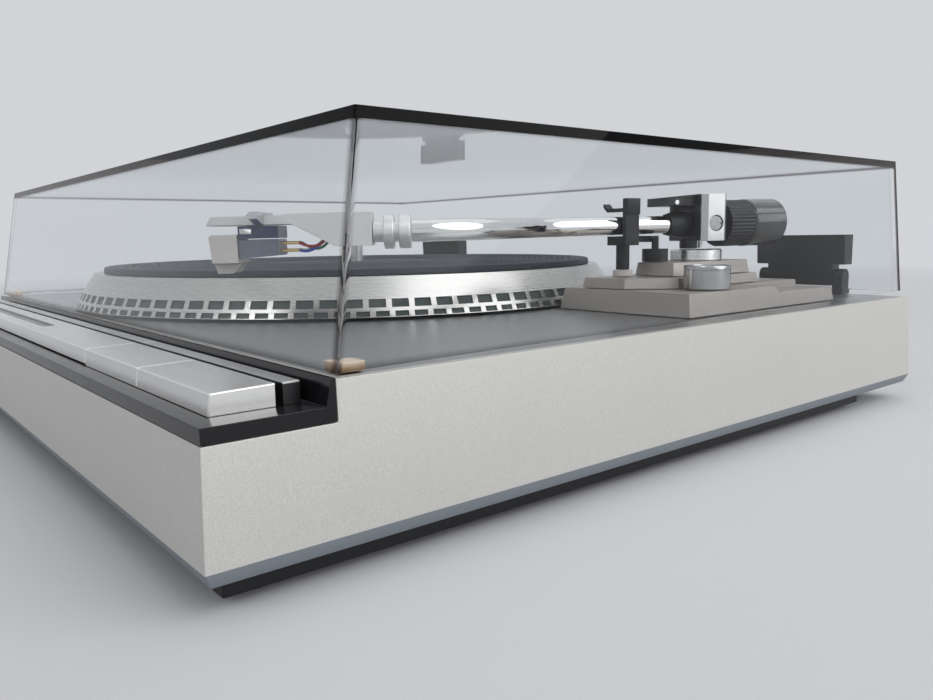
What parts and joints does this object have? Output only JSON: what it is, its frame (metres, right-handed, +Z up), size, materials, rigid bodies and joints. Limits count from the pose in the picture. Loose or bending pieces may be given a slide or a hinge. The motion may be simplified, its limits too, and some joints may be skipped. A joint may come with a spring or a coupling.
{
  "type": "turntable",
  "caption": "Low turntable with a clear hinged lid, strobe-edged platter, S shaped arm with headshell and counterweight, arm rest, cue lifter and a row of front keys",
  "frame": {"origin": "under the middle of the plinth, on the surface that the feet stand on", "axes": "+X to the right seen from the front, +Y to the rear, +Z up"},
  "size_m": [0.43, 0.3662, 0.1177],
  "materials": {
    "anti_skate_knob": "bright turned",
    "arm_base_plate": "satin casting",
    "arm_base_step": "satin casting",
    "arm_rest": "black",
    "arm_rest_disc": "pale",
    "arm_rest_latch": "black",
    "arm_riser": "satin casting",
    "arm_tube": "chrome plated",
    "base_cover": "black",
    "bearing_core": "black",
    "bearing_housing": "turned",
    "cartridge_body": "dark slate",
    "cartridge_mount": "dark blue",
    "circuit_board": "brown laminate",
    "control_tray": "black",
    "cord_gland": "black",
    "corner_bumper_left": "yellowed",
    "corner_bumper_right": "yellowed",
    "counterweight": "glossy black",
    "deck_plate": "brushed",
    "display_bar": "brushed",
    "display_window": "dark window",
    "dust_cover": "clear acrylic",
    "earth_terminal": "bright",
    "finger_lift": "satin",
    "foot_front_left": "black",
    "foot_front_right": "black",
    "foot_rear_left": "black",
    "foot_rear_right": "black",
    "force_dial": "knurled black",
    "gimbal_side_plate": "satin",
    "gimbal_yoke": "black",
    "headshell": "satin silver",
    "hinge_base_left": "black",
    "hinge_base_right": "black",
    "hinge_holder_left": "black",
    "hinge_holder_right": "black",
    "lead_wires": "coloured leads",
    "lift_key": "black with a metal top",
    "lifter_bar": "black",
    "lifter_body": "black",
    "lock_pin": "bright",
    "locking_collar": "satin silver",
    "motor_stator": "coils on laminate",
    "pivot_screw": "bright",
    "platter": "turned",
    "platter_mat": "ribbed",
    "plinth_shell": "silver paint",
    "rear_trim_bar": "black with a metal top",
    "rotor_ring": "dark magnet",
    "signal_sockets": "plated",
    "spindle": "bright",
    "start_key": "brushed",
    "stop_key": "brushed",
    "stylus": "bright",
    "stylus_guard": "grey",
    "stylus_holder": "pale grey",
    "swing_disc": "satin",
    "transformer": "laminated core",
    "tube_socket": "satin silver"
  },
  "bodies": {
    "plinth": {"plinth_shell": "plinth_shell", "deck_plate": "deck_plate", "base_cover": "base_cover", "foot_front_left": "foot_front_left", "foot_front_right": "foot_front_right", "foot_rear_left": "foot_rear_left", "foot_rear_right": "foot_rear_right", "control_tray": "control_tray", "display_bar": "display_bar", "display_window": "display_window", "rear_trim_bar": "rear_trim_bar", "bearing_housing": "bearing_housing", "motor_stator": "motor_stator", "arm_base_plate": "arm_base_plate", "arm_base_step": "arm_base_step", "arm_riser": "arm_riser", "arm_rest_disc": "arm_rest_disc", "arm_rest": "arm_rest", "lifter_body": "lifter_body", "hinge_base_left": "hinge_base_left", "hinge_base_right": "hinge_base_right", "transformer": "transformer", "circuit_board": "circuit_board", "signal_sockets": "signal_sockets", "earth_terminal": "earth_terminal", "cord_gland": "cord_gland"},
    "turning_platter": {"platter": "platter", "platter_mat": "platter_mat", "spindle": "spindle", "rotor_ring": "rotor_ring"},
    "lid": {"dust_cover": "dust_cover", "corner_bumper_left": "corner_bumper_left", "corner_bumper_right": "corner_bumper_right", "hinge_holder_left": "hinge_holder_left", "hinge_holder_right": "hinge_holder_right"},
    "start_key": {"start_key": "start_key"},
    "stop_key": {"stop_key": "stop_key"},
    "lift_key": {"lift_key": "lift_key"},
    "cue_lifter": {"lifter_bar": "lifter_bar"},
    "anti_skate": {"anti_skate_knob": "anti_skate_knob"},
    "rest_latch": {"arm_rest_latch": "arm_rest_latch"},
    "arm_yoke": {"swing_disc": "swing_disc", "gimbal_yoke": "gimbal_yoke", "gimbal_side_plate": "gimbal_side_plate", "pivot_screw": "pivot_screw", "lock_pin": "lock_pin"},
    "arm": {"bearing_core": "bearing_core", "arm_tube": "arm_tube", "tube_socket": "tube_socket", "headshell": "headshell", "finger_lift": "finger_lift", "cartridge_mount": "cartridge_mount", "cartridge_body": "cartridge_body", "stylus_holder": "stylus_holder", "stylus_guard": "stylus_guard", "stylus": "stylus", "lead_wires": "lead_wires"},
    "collar": {"locking_collar": "locking_collar"},
    "weight": {"counterweight": "counterweight"},
    "dial": {"force_dial": "force_dial"}
  },
  "joints": [
    {"name": "platter_spin", "type": "hinge", "parent": "plinth", "child": "turning_platter", "pos_m": [-0.0237, 0.0054, 0.06], "axis": [0, 0, 1], "continuous": true},
    {"name": "lid_hinge", "type": "hinge", "parent": "plinth", "child": "lid", "pos_m": [0, 0.1768, 0.0612], "axis": [-1, 0, 0], "range_deg": [0, 62]},
    {"name": "start_key_press", "type": "slide", "parent": "plinth", "child": "start_key", "axis": [0, 0, -1], "range_m": [0, 0.002], "stiffness_N_per_m": 300, "springref_m": -0.0015},
    {"name": "stop_key_press", "type": "slide", "parent": "plinth", "child": "stop_key", "axis": [0, 0, -1], "range_m": [0, 0.002], "stiffness_N_per_m": 300, "springref_m": -0.0015},
    {"name": "lift_key_press", "type": "slide", "parent": "plinth", "child": "lift_key", "axis": [0, 0, -1], "range_m": [0, 0.002]},
    {"name": "cue_lift", "type": "slide", "parent": "plinth", "child": "cue_lifter", "axis": [0, 0, 1], "range_m": [0, 0.0016]},
    {"name": "arm_swing", "type": "hinge", "parent": "plinth", "child": "arm_yoke", "pos_m": [0.1575, 0.079, 0.0891], "axis": [0, 0, -1], "range_deg": [0, 38]},
    {"name": "arm_raise", "type": "hinge", "parent": "arm_yoke", "child": "arm", "pos_m": [0.1575, 0.079, 0.0891], "axis": [-0.9259, 0.3778, 0], "range_deg": [0, 2.2]},
    {"name": "collar_turn", "type": "hinge", "parent": "arm", "child": "collar", "pos_m": [0.14047, -0.08175, 0.08742], "axis": [-0.6184, -0.7858, -0.0096], "range_deg": [0, 40]},
    {"name": "weight_turn", "type": "hinge", "parent": "arm", "child": "weight", "pos_m": [0.1575, 0.079, 0.0891], "axis": [-0.2453, -0.9694, -0.0105], "range_deg": [-360, 360]},
    {"name": "dial_turn", "type": "hinge", "parent": "weight", "child": "dial", "pos_m": [0.1575, 0.079, 0.0891], "axis": [-0.2453, -0.9694, -0.0105], "range_deg": [-180, 180]},
    {"name": "anti_skate_turn", "type": "hinge", "parent": "plinth", "child": "anti_skate", "pos_m": [0.1858, 0.0463, 0.066], "axis": [0, 0, 1], "range_deg": [0, 270]},
    {"name": "latch_flip", "type": "hinge", "parent": "plinth", "child": "rest_latch", "pos_m": [0.15282, 0.03727, 0.09556], "axis": [0.2453, 0.9694, 0], "range_deg": [0, 70]}
  ],
  "couplings": [
    {"joint": "lift_key_press", "follows": "arm_raise", "m_per_rad": 0.052},
    {"joint": "cue_lift", "follows": "arm_raise", "m_per_rad": 0.04}
  ]
}
